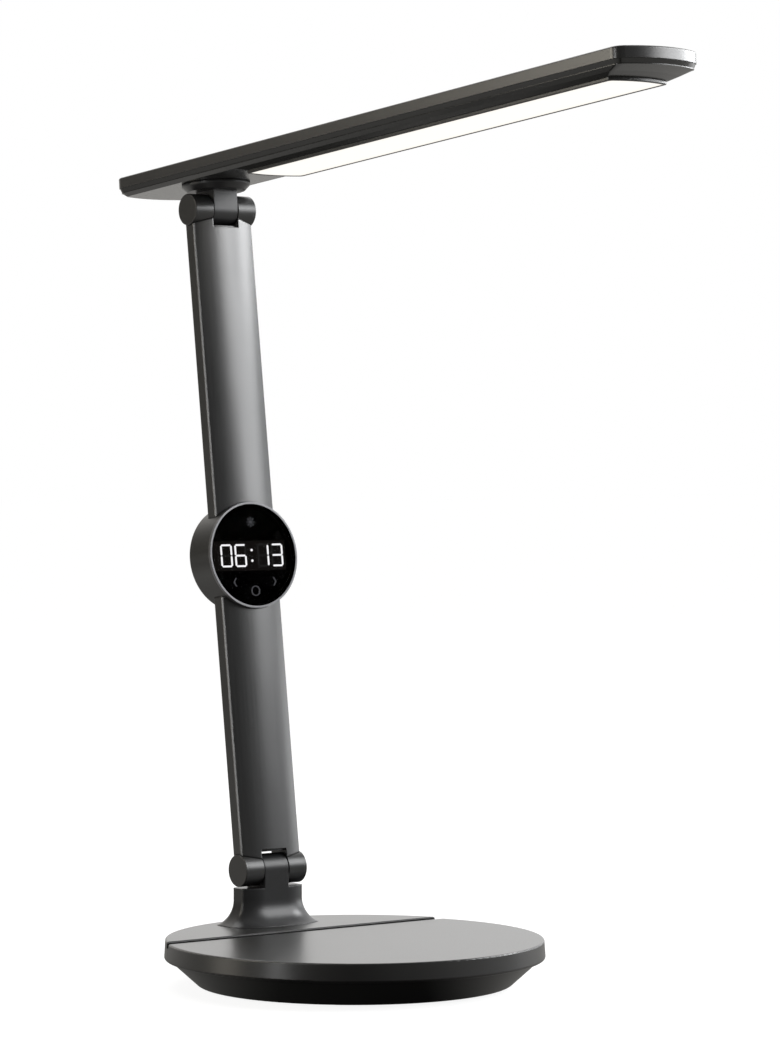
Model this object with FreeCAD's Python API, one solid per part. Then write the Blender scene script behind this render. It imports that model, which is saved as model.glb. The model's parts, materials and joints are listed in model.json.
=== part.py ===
import FreeCAD, Part
import math
import os

V = FreeCAD.Vector
X_AXIS = V(1, 0, 0)
Y_AXIS = V(0, 1, 0)
Z_AXIS = V(0, 0, 1)

os.makedirs("parts", exist_ok=True)

# Shared fits and the arm's half width
overrun = 1.0
arm_half = 17.5
run_clear = 0.05
slide_clear = 0.1
seam_gap = 0.15

# Base
base_r = 90.0
deck_in = 0.6
rim_wall = 3.6
shoulder_in = 5.4
deck_r = base_r - deck_in
rim_inner_r = base_r - rim_wall
shoulder_r = base_r - shoulder_in
front_deck_z = 21.6
rear_deck_z = 22.2
rim_low_z = 12.6
shoulder_z = 15.6
deck_under_z = 18.6
deck_edge_r = 0.8
rim_edge_r = 1.2
groove_in = 49.9
groove_rear_y = base_r - groove_in
groove_w = 4.2
groove_floor_z = 19.0
groove_bevel = 0.5
groove_rib_w = 8.2
groove_rib_z = 16.4
groove_rib_in = 12.0
groove_rib_half = base_r - groove_rib_in
pan_low_z = 0.6
pan_floor_z = 4.0
pan_foot_in = 16.0
pan_shoulder_in = 2.6
pan_inner_in = 17.0
pan_foot_r = base_r - pan_foot_in
pan_shoulder_r = base_r - pan_shoulder_in
pan_inner_r = base_r - pan_inner_in
pan_edge_r = 3.0
pad_in = 23.0
pad_r = base_r - pad_in
pad_seat_z = 1.6
pad_edge_r = 0.4
ballast_in = 24.0
ballast_r = base_r - ballast_in
ballast_top_z = 10.4
boss_in = 34.0
boss_circle_r = base_r - boss_in
boss_r = 3.6
boss_clear = 0.8
boss_angles_shares = (20, 160, 205, 335)
base_screw_r = 1.5
base_screw_head_r = 3.0
base_screw_head_h = 1.6
base_screw_len = 12.0

# Neck
neck_in = 20.1
neck_y = base_r - neck_in
hinge_z = 48.7
neck_past_arm = 0.5
neck_half = arm_half + neck_past_arm
neck_side = 3.8
neck_crown = 7.5
neck_corner_r = 1.6
neck_shoulder_z = 40.2
flare_r = 13.0
flare_margin = 0.2
flare_sink = 1.0
flare_edge = 0.5
tongue_half = 7.0
neck_screw_x = 11.0
neck_screw_r = 1.5
neck_screw_head_r = 2.8
neck_screw_head_h = 1.8
neck_screw_top_z = 34.0
cable_bore_r = 1.3
cable_r = 1.0
cable_back = 4.6
cable_bend = 2.5
head_cable_bend = 1.25

# Hinges, both alike
barrel_r = 7.75
tongue_r = 7.5
barrel_clear = 0.5
barrel_end_in = 0.9
cap_past_arm = 0.6
barrel_in = tongue_half + barrel_clear
barrel_out = arm_half - barrel_end_in
cap_out = arm_half + cap_past_arm
cap_spigot_r = 4.9
cap_spigot_len = 1.2
cap_edge = 0.4
counterbore_r = 5.0
counterbore_depth = 5.6
counterbore_in = barrel_out - counterbore_depth
bolt_r = 2.5
bolt_head_r = 4.6
bolt_head_h = 3.0
bolt_socket_r = 2.2
bolt_socket_h = 1.8
nut_r = 4.6
nut_h = 2.6
spring_washer_r = 4.4
spring_washer_h = 0.8
friction_washer_r = 6.2
friction_washer_h = 0.4

# Arm
arm_len = 324.2
arm_lean_deg = 7.45
arm_side = 3.5
arm_crown = 7.0
arm_wall = 1.6
arm_side_wall = 1.2
arm_bevel = 0.6
notch_s = 9.2
notch_half = 7.5
plug_len = 34.0
plug_notch_s = 8.3
channel_half = 1.6
channel_depth = 2.4
spine_half = 9.0
spine_half_t = 1.1
spine_slot_s = 20.0
arm_cable_back = 3.8

# Clock
clock_s = 152.5
clock_r = 26.0
clock_back = 10.0
clock_front = 8.6
clock_wall = 1.6
clock_edge_r = 1.4
clock_bore_r = 24.2
lens_seat_d = 6.5
lens_r = 24.95
lens_front = 8.3
bezel_low_d = 7.1
bezel_r = 25.0
board_r = 23.6
board_low = 1.6
board_t = 1.6
post_r = 2.2
post_x = 18.4
post_up = 9.8
post_screw_r = 1.0
post_screw_head_r = 2.0
post_screw_head_h = 1.2
post_screw_len = 5.0
port_half = 9.2
port_back = 5.4
port_front = 1.3
stub_r = 0.8
stub_hole_r = 2.4
display_half = 20.6
display_half_h = 7.2
display_t = 2.8
segment_t = 0.25
digit_w = 6.8
digit_h = 11.2
digit_bar = 0.85
digit_gap = 0.15
digit_pitch = 8.45
digit_centre = 6.75
digit_shift = 0.45
colon_r = 0.6
colon_rise = 2.6
icon_low = 6.1
icon_top = 6.45
icon_shift = 1.0
icon_stroke = 0.4
sun_s = 16.4
sun_r = 0.7
sun_ray_in = 1.2
sun_ray_out = 2.5
sun_ray_half = 0.18
arrow_s = 13.0
arrow_x = 12.1
arrow_half_h = 2.1
arrow_half_w = 0.7
arrow_stroke = 0.5
ring_s = 17.4
ring_r = 2.5

# Swivel under the head
flange_low_up = 9.5
flange_low_r = 14.2
flange_rim_up = 12.2
flange_rim_r = 16.9
flange_top_up = 13.2
flange_round = 0.8
stub_shaft_r = 6.5
stub_top_up = 18.8
swivel_washer_r = 9.5
swivel_washer_h = 0.6
swivel_nut_r = 9.2
swivel_nut_h = 1.5
swivel_boss_r = 10.0
swivel_boss_up = 16.4

# Head, measured from the upper hinge axis: h forward, n up
head_up_deg = 5.27
head_half = 23.5
head_top_up = 22.85
head_split_up = 17.5
head_wall = 1.7
head_edge_r = 0.9
head_end_r = 49.0
head_front = 334.2
head_rear = -58.2
head_corner_r = 6.0
band_top_in = 0.3
band_low_in = 1.5
band_low_up = 15.0
bead_in = 1.2
bead_h = 0.35
flat_up = 13.4
flat_half = 20.0
flat_front = 324.8
flat_rear = -54.0
pod_low_up = 11.9
pod_half = 17.3
pod_front = 318.6
pod_rear = 46.0
pod_root_rear = 40.0
pod_corner_r = 2.6
shell_floor_up = 15.2
shelf_up = 15.9
lip_in = 1.0
lip_up = 19.0
window_half = 15.8
window_front = 317.0
window_rear = 47.2
frame_low_up = 10.4
frame_half = 16.7
frame_front = 318.0
frame_rear = 46.2
frame_in_half = 15.5
frame_in_front = 316.7
frame_in_rear = 47.5
frame_edge_r = 0.4
panel_corner_r = 2.0
panel_up = 10.7
panel_top_up = 12.9
guide_half = 13.6
guide_front = 314.0
guide_rear = 50.0
guide_top_up = 15.4
chip_t = 1.2
chip_w = 2.6
chip_h = 1.6
chip_rows = 24
strip_t = 0.8
strip_inset = 6.0
plate_half = 19.8
plate_t = 1.2
plate_front = 319.0
plate_rear = 44.0
plate_screw_x = 18.2
plate_screw_r = 0.8
plate_screw_head_r = 1.4
plate_screw_head_h = 0.9
plate_screw_len = 2.2
plate_screw_first = 70.0
plate_screw_step = 72.0
plate_screw_count = 4
head_cable_up = 19.9
head_cable_turn = 56.0

# Power inlet and driver board
jack_z = 15.9
jack_bore_r = 1.75
jack_body_r = 2.5
jack_depth = 9.0
jack_bore_len = 7.0
jack_pin_r = 0.65
jack_pin_len = 6.0
jack_in = 2.4
jack_face_y = base_r - jack_in
jack_block_half = 3.4
jack_block_len = 2.4
jack_block_low = 3.2
driver_half_x = 30.0
driver_half_y = 16.0
driver_y = -18.0
driver_low_z = 11.8
driver_t = 1.6
driver_post_r = 2.4
driver_post_x = 26.0
driver_post_y = 12.0
coil_r = 6.0
part_h = 4.2
chip_half = 4.0
chip_part_h = 1.6
cap_part_r = 3.0


def box(x0, x1, y0, y1, z0, z1):
    return Part.makeBox(x1 - x0, y1 - y0, z1 - z0, V(x0, y0, z0))


def rod(radius, start, end):
    return Part.makeCylinder(radius, (end - start).Length, start, end - start)


def tube(outer, inner, start, end):
    return rod(outer, start, end).cut(rod(inner, start, end))


def joined(shapes):
    whole = shapes[0].fuse(shapes[1:]) if len(shapes) > 1 else shapes[0]
    return whole.removeSplitter()


def prism(wire, direction):
    return Part.Face(wire).extrude(direction)


def rounded_wire(points):
    # A closed outline in the r, z plane; each point is (r, z, corner radius).
    corners = []
    count = len(points)
    for i in range(count):
        here = V(points[i][0], 0, points[i][1])
        radius = points[i][2]
        back = V(points[i - 1][0], 0, points[i - 1][1]) - here
        ahead = V(points[(i + 1) % count][0], 0, points[(i + 1) % count][1]) - here
        if radius == 0:
            corners.append((here, here, here))
            continue
        back.normalize()
        ahead.normalize()
        half = back.getAngle(ahead) / 2
        toward = back + ahead
        toward.normalize()
        middle = here + toward * (radius / math.sin(half) - radius)
        reach = radius / math.tan(half)
        corners.append((here + back * reach, middle, here + ahead * reach))
    edges = []
    for i in range(count):
        start, middle, end = corners[i]
        if start != end:
            edges.append(Part.Arc(start, middle, end).toShape())
        edges.append(Part.makeLine(end, corners[(i + 1) % count][0]))
    return Part.Wire(edges)


def turned(points):
    return Part.Face(rounded_wire(points)).revolve(V(0, 0, 0), Z_AXIS, 360)


def lens_wire(half, side, crown, z):
    # Flat narrow sides, arched front and back.
    corners = (V(-half, -side, z), V(half, -side, z), V(half, side, z), V(-half, side, z))
    front = Part.Arc(corners[0], V(0, -crown, z), corners[1]).toShape()
    right = Part.makeLine(corners[1], corners[2])
    rear = Part.Arc(corners[2], V(0, crown, z), corners[3]).toShape()
    left = Part.makeLine(corners[3], corners[0])
    return Part.Wire([front, right, rear, left])


def flat_lens_wire(half, flat, side, crown, z):
    # As the lens outline, but flat across the middle, with arcs that run on from the flat.
    rise = crown - side
    radius = ((half - flat) ** 2 + rise ** 2) / (2 * rise)
    turn = math.asin((half - flat) / radius) / 2
    mid_x = flat + radius * math.sin(turn)
    mid_y = crown - radius + radius * math.cos(turn)
    edges = []
    for sy in (-1, 1):
        edges.append(Part.makeLine(V(-flat, sy * crown, z), V(flat, sy * crown, z)))
        for sx in (-1, 1):
            start = V(sx * flat, sy * crown, z)
            edges.append(Part.Arc(start, V(sx * mid_x, sy * mid_y, z), V(sx * half, sy * side, z)).toShape())
    for sx in (-1, 1):
        edges.append(Part.makeLine(V(sx * half, -side, z), V(sx * half, side, z)))
    return Part.Wire(Part.__sortEdges__(edges))


def upright_edges(solid, low, high):
    found = []
    for edge in solid.Edges:
        a = edge.Vertexes[0].Point
        b = edge.Vertexes[-1].Point
        if abs(a.z - b.z) > (high - low) / 2 and abs(a.x - b.x) + abs(a.y - b.y) < slide_clear:
            found.append(edge)
    return found


# Placing: the arm is built upright on the lower hinge, the head level on the upper one.
arm_place = FreeCAD.Placement(V(0, neck_y, hinge_z), FreeCAD.Rotation(X_AXIS, -arm_lean_deg))
head_at = arm_place.multVec(V(0, 0, arm_len))
head_place = FreeCAD.Placement(head_at, FreeCAD.Rotation(X_AXIS, -head_up_deg))
arm_flip = V(0, 0, arm_len / 2)


def export(name, shape, placement=None):
    shape = shape.copy()
    if placement is not None:
        shape.Placement = placement.multiply(shape.Placement)
    shape.exportStep("parts/" + name + ".step")


def flipped(shape):
    return shape.mirror(arm_flip, Z_AXIS)


def both_hinges(shape):
    return [shape, shape.translated(V(0, 0, arm_len))]


# Base cover: rim, two deck levels, groove, bosses
def cover_half(deck_z):
    return turned((
        (0, deck_z, 0),
        (deck_r, deck_z, deck_edge_r),
        (base_r, rim_low_z, rim_edge_r),
        (rim_inner_r, rim_low_z, 0),
        (rim_inner_r, shoulder_z, 0),
        (shoulder_r, shoulder_z, 0),
        (shoulder_r, deck_under_z, 0),
        (0, deck_under_z, 0),
    ))


def boss_points():
    points = []
    for angle in boss_angles_shares:
        a = math.radians(angle)
        points.append(V(boss_circle_r * math.cos(a), boss_circle_r * math.sin(a), 0))
    return points


reach = base_r + overrun
groove_y = groove_rear_y - groove_w / 2
front_space = box(-reach, reach, -reach, groove_y, 0, rear_deck_z + overrun)
rear_space = box(-reach, reach, groove_y, reach, 0, rear_deck_z + overrun)
cover = cover_half(front_deck_z).common(front_space).fuse(cover_half(rear_deck_z).common(rear_space))
rib = box(-groove_rib_half, groove_rib_half, groove_y - groove_rib_w / 2, groove_y + groove_rib_w / 2,
          groove_rib_z, deck_under_z)
rib = rib.common(Part.makeCylinder(shoulder_r, rear_deck_z))
cover = cover.fuse(rib)
boss_seats = boss_points()
for seat in boss_seats:
    cover = cover.fuse(rod(boss_r, seat + V(0, 0, pan_floor_z), seat + V(0, 0, deck_under_z)))
for sx in (-1, 1):
    for sy in (-1, 1):
        post = V(sx * driver_post_x, driver_y + sy * driver_post_y, 0)
        post_low = post + V(0, 0, driver_low_z + driver_t)
        cover = cover.fuse(rod(driver_post_r, post_low, post + V(0, 0, deck_under_z)))
groove_points = (
    V(-reach, groove_y - groove_w / 2 - groove_bevel, rear_deck_z + overrun),
    V(-reach, groove_y - groove_w / 2 - groove_bevel, front_deck_z),
    V(-reach, groove_y - groove_w / 2, front_deck_z - groove_bevel),
    V(-reach, groove_y - groove_w / 2, groove_floor_z),
    V(-reach, groove_y + groove_w / 2, groove_floor_z),
    V(-reach, groove_y + groove_w / 2, rear_deck_z - groove_bevel),
    V(-reach, groove_y + groove_w / 2 + groove_bevel, rear_deck_z),
    V(-reach, groove_y + groove_w / 2 + groove_bevel, rear_deck_z + overrun),
)
groove = prism(Part.makePolygon(groove_points + groove_points[:1]), V(2 * reach, 0, 0))
cover = cover.cut(groove)
screw_hole_r = base_screw_r + run_clear
screw_low_z = pad_seat_z + base_screw_head_h
for seat in boss_seats:
    hole_top = screw_low_z + base_screw_len + overrun
    cover = cover.cut(rod(screw_hole_r, seat, seat + V(0, 0, hole_top)))
for sx in (-1, 1):
    at = V(sx * neck_screw_x, neck_y, 0)
    cover = cover.cut(rod(neck_screw_r + run_clear, at, at + V(0, 0, rear_deck_z + overrun)))
cable_y = neck_y + cable_back
cover = cover.cut(rod(cable_bore_r, V(0, cable_y, shoulder_z), V(0, cable_y, rear_deck_z + overrun)))
jack_hole = rod(jack_body_r + slide_clear, V(0, jack_face_y - jack_depth, jack_z), V(0, reach, jack_z))
cover = cover.cut(jack_hole)
export("base_cover", cover.removeSplitter())

# Base pan: cone bowl with the lip that carries the cover
lip_r = rim_inner_r - slide_clear
pan = turned((
    (0, pan_low_z, 0),
    (pan_foot_r, pan_low_z, pan_edge_r),
    (pan_shoulder_r, rim_low_z, 0),
    (lip_r, rim_low_z, 0),
    (lip_r, shoulder_z, 0),
    (shoulder_r, shoulder_z, 0),
    (pan_inner_r, pan_floor_z, 0),
    (0, pan_floor_z, 0),
))
pan = pan.cut(rod(pad_r + slide_clear, V(0, 0, 0), V(0, 0, pad_seat_z)))
for seat in boss_seats:
    pan = pan.cut(rod(screw_hole_r, seat, seat + V(0, 0, pan_floor_z + overrun)))
    pan = pan.cut(rod(base_screw_head_r + slide_clear, seat, seat + V(0, 0, screw_low_z)))
pan = pan.cut(rod(jack_body_r + slide_clear, V(0, pan_inner_r, jack_z), V(0, reach, jack_z)))
export("base_pan", pan)

foot_pad = rod(pad_r, V(0, 0, 0), V(0, 0, pad_seat_z))
pad_edges = [e for e in foot_pad.Edges if e.Closed and e.BoundBox.ZMax < run_clear]
export("foot_pad", foot_pad.makeFillet(pad_edge_r, pad_edges))

ballast = rod(ballast_r, V(0, 0, pan_floor_z), V(0, 0, ballast_top_z))
for seat in boss_seats:
    ballast = ballast.cut(rod(boss_r + boss_clear, seat, seat + V(0, 0, ballast_top_z + overrun)))
ballast = ballast.makeChamfer(boss_clear, [ballast.Edges[0]])
export("ballast_plate", ballast)

base_screws = []
for seat in boss_seats:
    head = rod(base_screw_head_r, seat + V(0, 0, pad_seat_z), seat + V(0, 0, screw_low_z))
    shank = rod(base_screw_r, seat + V(0, 0, screw_low_z), seat + V(0, 0, screw_low_z + base_screw_len))
    base_screws.append(joined([head, shank]))
export("base_screws", Part.makeCompound(base_screws))

# Neck post: lens section with a flared foot and the centre tongue of the lower hinge
foot_z = rear_deck_z - flare_sink - flare_edge
root_z = rear_deck_z - flare_sink
neck_wire = flat_lens_wire(neck_half, tongue_half, neck_side, neck_crown, foot_z)
neck_body = prism(neck_wire, V(0, 0, neck_shoulder_z - foot_z))
corner_edges = []
for edge in upright_edges(neck_body, foot_z, neck_shoulder_z):
    if abs(edge.CenterOfMass.x) > neck_half - run_clear:
        corner_edges.append(edge)
neck_body = neck_body.makeFillet(neck_corner_r, corner_edges)
foot_wire = None
for face in neck_body.Faces:
    if abs(face.CenterOfMass.z - foot_z) < run_clear:
        foot_wire = face.OuterWire
flare_plate = Part.Face(foot_wire.makeOffset2D(flare_r + flare_margin)).extrude(V(0, 0, flare_edge))
neck_body = neck_body.fuse(flare_plate).removeSplitter()
root_edges = []
for edge in neck_body.Edges:
    low = edge.BoundBox.ZMin
    level = edge.BoundBox.ZMax - low < run_clear and abs(low - root_z) < run_clear
    beside = max(abs(edge.BoundBox.XMin), abs(edge.BoundBox.XMax)) <= neck_half + run_clear
    before = max(abs(edge.BoundBox.YMin), abs(edge.BoundBox.YMax)) <= neck_crown + run_clear
    if level and beside and before:
        root_edges.append(edge)
neck_body = neck_body.makeFillet(flare_r, root_edges)
flare_far = neck_half + flare_r + overrun
neck_body = neck_body.cut(box(-flare_far, flare_far, -flare_far, flare_far, foot_z - overrun, rear_deck_z))
tongue_z = neck_shoulder_z - neck_side
tongue = box(-tongue_half, tongue_half, -tongue_r, tongue_r, tongue_z, hinge_z)
tongue = tongue.fuse(rod(tongue_r, V(-tongue_half, 0, hinge_z), V(tongue_half, 0, hinge_z)))
neck = neck_body.fuse(tongue).removeSplitter()
neck.translate(V(0, neck_y, 0))
hinge_bore_r = bolt_r + run_clear
neck = neck.cut(rod(hinge_bore_r, V(-neck_half, neck_y, hinge_z), V(neck_half, neck_y, hinge_z)))
lead_top = V(0, cable_y, hinge_z + barrel_r)
neck = neck.cut(rod(cable_bore_r, V(0, cable_y, rear_deck_z - overrun), lead_top))
for sx in (-1, 1):
    at = V(sx * neck_screw_x, neck_y, 0)
    neck = neck.cut(rod(neck_screw_r + run_clear, at, at + V(0, 0, neck_screw_top_z + overrun)))
export("neck_post", neck)

neck_screws = []
for sx in (-1, 1):
    at = V(sx * neck_screw_x, neck_y, deck_under_z)
    head = rod(neck_screw_head_r, at - V(0, 0, neck_screw_head_h), at)
    shank = rod(neck_screw_r, at, V(at.x, at.y, neck_screw_top_z))
    neck_screws.append(joined([head, shank]))
export("neck_screws", Part.makeCompound(neck_screws))

# Power inlet at the back of the rim, with its centre pin
jack_inner_y = jack_face_y - jack_depth
jack = rod(jack_body_r, V(0, jack_inner_y, jack_z), V(0, jack_face_y, jack_z))
jack = jack.fuse(box(-jack_block_half, jack_block_half, jack_inner_y - jack_block_len, jack_inner_y,
                     jack_z - jack_block_low, deck_under_z))
pin_root_y = jack_face_y - jack_bore_len
jack = jack.cut(rod(jack_bore_r, V(0, pin_root_y, jack_z), V(0, jack_face_y + overrun, jack_z)))
jack = jack.fuse(rod(jack_pin_r, V(0, pin_root_y, jack_z), V(0, pin_root_y + jack_pin_len, jack_z)))
export("power_jack", jack.removeSplitter())

# Driver board under the cover
driver_top = driver_low_z + driver_t
driver = box(-driver_half_x, driver_half_x, driver_y - driver_half_y, driver_y + driver_half_y,
             driver_low_z, driver_top)
driver = driver.fuse(rod(coil_r, V(0, driver_y, driver_top), V(0, driver_y, driver_top + part_h)))
for sx in (-1, 1):
    cap_at = V(sx * (coil_r + cap_part_r * 2), driver_y + cap_part_r, driver_top)
    driver = driver.fuse(rod(cap_part_r, cap_at, cap_at + V(0, 0, part_h)))
    chip_y = driver_y - coil_r - chip_half
    chip_x = sx * coil_r * 2
    chip = box(chip_x - chip_half, chip_x + chip_half, chip_y - chip_half / 2, chip_y + chip_half / 2,
               driver_top, driver_top + chip_part_h)
    driver = driver.fuse(chip)
export("driver_board", driver.removeSplitter())


def cable_run(points, radius, bend):
    # A round cable along straight runs with bent corners.
    edges = []
    last = points[0]
    for i in range(1, len(points) - 1):
        back = (points[i - 1] - points[i]).normalize()
        ahead = (points[i + 1] - points[i]).normalize()
        half = back.getAngle(ahead) / 2
        toward = (back + ahead).normalize()
        middle = points[i] + toward * (bend / math.sin(half) - bend)
        start = points[i] + back * (bend / math.tan(half))
        end = points[i] + ahead * (bend / math.tan(half))
        edges.append(Part.makeLine(last, start))
        edges.append(Part.Arc(start, middle, end).toShape())
        last = end
    edges.append(Part.makeLine(last, points[-1]))
    path = Part.Wire(edges)
    ring = Part.Wire(Part.makeCircle(radius, points[0], points[1] - points[0]))
    return path.makePipeShell([ring], True, True)


run_z = driver_top + cable_r
neck_cable_top = hinge_z + cable_r
feed = cable_run((V(0, driver_y + driver_half_y - cable_back, run_z), V(0, cable_y, run_z),
                  V(0, cable_y, neck_cable_top)), cable_r, cable_bend)
export("base_cable", feed)

# Arm tubes: arched extrusions, saddle-cut at the hinges and round the clock
tube_out = prism(lens_wire(arm_half, arm_side, arm_crown, 0), V(0, 0, arm_len))
tube_out = tube_out.makeChamfer(arm_bevel, upright_edges(tube_out, 0, arm_len))
inner_wire = lens_wire(arm_half - arm_wall, arm_side - arm_side_wall, arm_crown - arm_wall, 0)
tube_in = prism(inner_wire, V(0, 0, arm_len))
arm_tube = tube_out.cut(tube_in)
for end_s in (0, arm_len):
    saddle_end = V(arm_half + overrun, 0, end_s)
    arm_tube = arm_tube.cut(rod(barrel_r + seam_gap, V(-arm_half - overrun, 0, end_s), saddle_end))
    arm_tube = arm_tube.cut(box(-notch_half, notch_half, -arm_crown - overrun, arm_crown + overrun,
                                end_s - notch_s, end_s + notch_s))
clock_rear_end = V(0, clock_back + overrun, clock_s)
clock_space = rod(clock_r + run_clear, clock_rear_end, V(0, -clock_front - overrun, clock_s))
arm_tube = arm_tube.cut(clock_space)
tubes = sorted(arm_tube.Solids, key=lambda solid: solid.CenterOfMass.z)
export("lower_tube", tubes[0], arm_place)
export("upper_tube", tubes[1], arm_place)

# Hinge yokes: two barrels on a plug that fills the tube end
plug = prism(lens_wire(arm_half - arm_wall - slide_clear, arm_side - arm_side_wall - slide_clear,
                       arm_crown - arm_wall - slide_clear, 0), V(0, 0, plug_len))
yoke = plug
for sx in (-1, 1):
    yoke = yoke.fuse(rod(barrel_r, V(sx * barrel_in, 0, 0), V(sx * barrel_out, 0, 0)))
yoke = yoke.cut(box(-barrel_in, barrel_in, -barrel_r, barrel_r, -barrel_r, plug_notch_s))
for sx in (-1, 1):
    yoke = yoke.cut(rod(counterbore_r, V(sx * counterbore_in, 0, 0), V(sx * (barrel_out + overrun), 0, 0)))
yoke = yoke.cut(rod(hinge_bore_r, V(-barrel_out, 0, 0), V(barrel_out, 0, 0)))
yoke = yoke.cut(box(-channel_half, channel_half, channel_depth, arm_crown, 0, plug_len + overrun))
slot_half = spine_half + run_clear
slot_half_t = spine_half_t + run_clear
yoke = yoke.cut(box(-slot_half, slot_half, -slot_half_t, slot_half_t, spine_slot_s, plug_len + overrun))
yoke = yoke.removeSplitter()
export("lower_yoke", yoke, arm_place)
export("upper_yoke", flipped(yoke), arm_place)

# Hinge hardware, the same at both hinges
bolt = rod(bolt_r, V(-counterbore_in, 0, 0), V(counterbore_in + spring_washer_h + nut_h, 0, 0))
bolt = bolt.fuse(rod(bolt_head_r, V(-counterbore_in - bolt_head_h, 0, 0), V(-counterbore_in, 0, 0)))
socket_points = []
socket_x = -counterbore_in - bolt_head_h
for i in range(6):
    a = math.radians(60 * i)
    socket_points.append(V(socket_x, bolt_socket_r * math.cos(a), bolt_socket_r * math.sin(a)))
socket = prism(Part.makePolygon(socket_points + socket_points[:1]), V(bolt_socket_h, 0, 0))
export("hinge_bolts", Part.makeCompound(both_hinges(bolt.cut(socket).removeSplitter())), arm_place)

nut_points = []
nut_x = counterbore_in + spring_washer_h
for i in range(6):
    a = math.radians(60 * i)
    nut_points.append(V(nut_x, nut_r * math.cos(a), nut_r * math.sin(a)))
nut = prism(Part.makePolygon(nut_points + nut_points[:1]), V(nut_h, 0, 0))
nut = nut.cut(rod(hinge_bore_r, V(nut_x - overrun, 0, 0), V(nut_x + nut_h + overrun, 0, 0)))
export("hinge_nuts", Part.makeCompound(both_hinges(nut)), arm_place)

spring_washer = tube(spring_washer_r, hinge_bore_r, V(counterbore_in, 0, 0), V(nut_x, 0, 0))
export("spring_washers", Part.makeCompound(both_hinges(spring_washer)), arm_place)

friction = []
for sx in (-1, 1):
    start = sx * (barrel_in - friction_washer_h)
    friction += both_hinges(tube(friction_washer_r, hinge_bore_r, V(start, 0, 0), V(sx * barrel_in, 0, 0)))
export("friction_washers", Part.makeCompound(friction), arm_place)

caps = []
for sx in (-1, 1):
    cap = rod(barrel_r, V(sx * barrel_out, 0, 0), V(sx * cap_out, 0, 0))
    rim_edges = [e for e in cap.Edges if e.Closed and abs(abs(e.CenterOfMass.x) - cap_out) < run_clear]
    cap = cap.makeFillet(cap_edge, rim_edges)
    cap = cap.fuse(rod(cap_spigot_r, V(sx * (barrel_out - cap_spigot_len), 0, 0), V(sx * barrel_out, 0, 0)))
    caps += both_hinges(cap.removeSplitter())
export("hinge_caps", Part.makeCompound(caps), arm_place)

# Spine that joins the two yokes through the clock, and the cable behind it
spine = box(-spine_half, spine_half, -spine_half_t, spine_half_t, spine_slot_s, arm_len - spine_slot_s)
spine = spine.cut(rod(stub_hole_r, V(0, -arm_crown, clock_s), V(0, arm_crown, clock_s)))
export("arm_spine", spine, arm_place)

arm_cable = rod(cable_r, V(0, arm_cable_back, notch_s), V(0, arm_cable_back, arm_len - notch_s))
arm_cable = arm_cable.fuse(rod(stub_r, V(0, arm_cable_back, clock_s), V(0, -board_low, clock_s)))
export("arm_cable", arm_cable.removeSplitter(), arm_place)


# Clock: built on its own axis, then stood on the arm with its face to the front
def clock_rod(radius, low, high):
    return rod(radius, V(0, -low, clock_s), V(0, -high, clock_s))


def clock_prism(points, low, high):
    # points are (x, up) pairs on the clock face
    corners = [V(p[0], -low, clock_s + p[1]) for p in points]
    return prism(Part.makePolygon(corners + corners[:1]), V(0, low - high, 0))


housing = clock_rod(clock_r, -clock_back, bezel_low_d)
back_edges = [e for e in housing.Edges if e.Closed and abs(e.CenterOfMass.y - clock_back) < run_clear]
housing = housing.makeFillet(clock_edge_r, back_edges)
housing = housing.cut(clock_rod(clock_bore_r, -clock_back + clock_wall, bezel_low_d + overrun))
housing = housing.cut(clock_rod(bezel_r, lens_seat_d, bezel_low_d + overrun))
post_seats = []
for sx in (-1, 1):
    for sz in (-1, 1):
        seat = V(sx * post_x, 0, clock_s + sz * post_up)
        post_seats.append(seat)
        post_root = seat + V(0, clock_back - clock_wall, 0)
        housing = housing.fuse(rod(post_r, post_root, seat + V(0, -board_low, 0)))
for seat in post_seats:
    hole_end = seat + V(0, -board_low - overrun, 0)
    housing = housing.cut(rod(post_screw_r + run_clear, seat + V(0, post_screw_len, 0), hole_end))
port_reach = clock_r + overrun
port = box(-port_half, port_half, -port_front, port_back, clock_s - port_reach, clock_s + port_reach)
housing = housing.cut(port)
export("clock_housing", housing.removeSplitter(), arm_place)

bezel = clock_rod(clock_r, bezel_low_d, clock_front).cut(clock_rod(bezel_r, bezel_low_d, clock_front))
export("clock_bezel", bezel, arm_place)
export("clock_lens", clock_rod(lens_r, lens_seat_d, lens_front), arm_place)

board_top = board_low + board_t
board = clock_rod(board_r, board_low, board_top)
for seat in post_seats:
    board = board.cut(rod(post_screw_r + run_clear, seat, seat + V(0, -board_top - overrun, 0)))
export("clock_board", board, arm_place)

clock_screws = []
for seat in post_seats:
    shank_end = seat + V(0, post_screw_len - board_top, 0)
    shank = rod(post_screw_r, shank_end, seat + V(0, -board_top, 0))
    head_end = seat + V(0, -board_top - post_screw_head_h, 0)
    head = rod(post_screw_head_r, seat + V(0, -board_top, 0), head_end)
    clock_screws.append(joined([shank, head]))
export("clock_screws", Part.makeCompound(clock_screws), arm_place)

display_face = board_top + display_t
display_points = ((-display_half, -display_half_h), (display_half, -display_half_h),
                  (display_half, display_half_h), (-display_half, display_half_h))
display = clock_prism(display_points, board_top, display_face)
export("clock_display", display, arm_place)


def bar_points(cx, cz, length, across):
    # A six-sided bar: level if across is false, upright if true.
    tip = length / 2 - digit_gap
    flat = tip - digit_bar / 2
    half = digit_bar / 2
    outline = ((-tip, 0), (-flat, half), (flat, half), (tip, 0), (flat, -half), (-flat, -half))
    if across:
        return [(cx + p[1], cz + p[0]) for p in outline]
    return [(cx + p[0], cz + p[1]) for p in outline]


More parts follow.
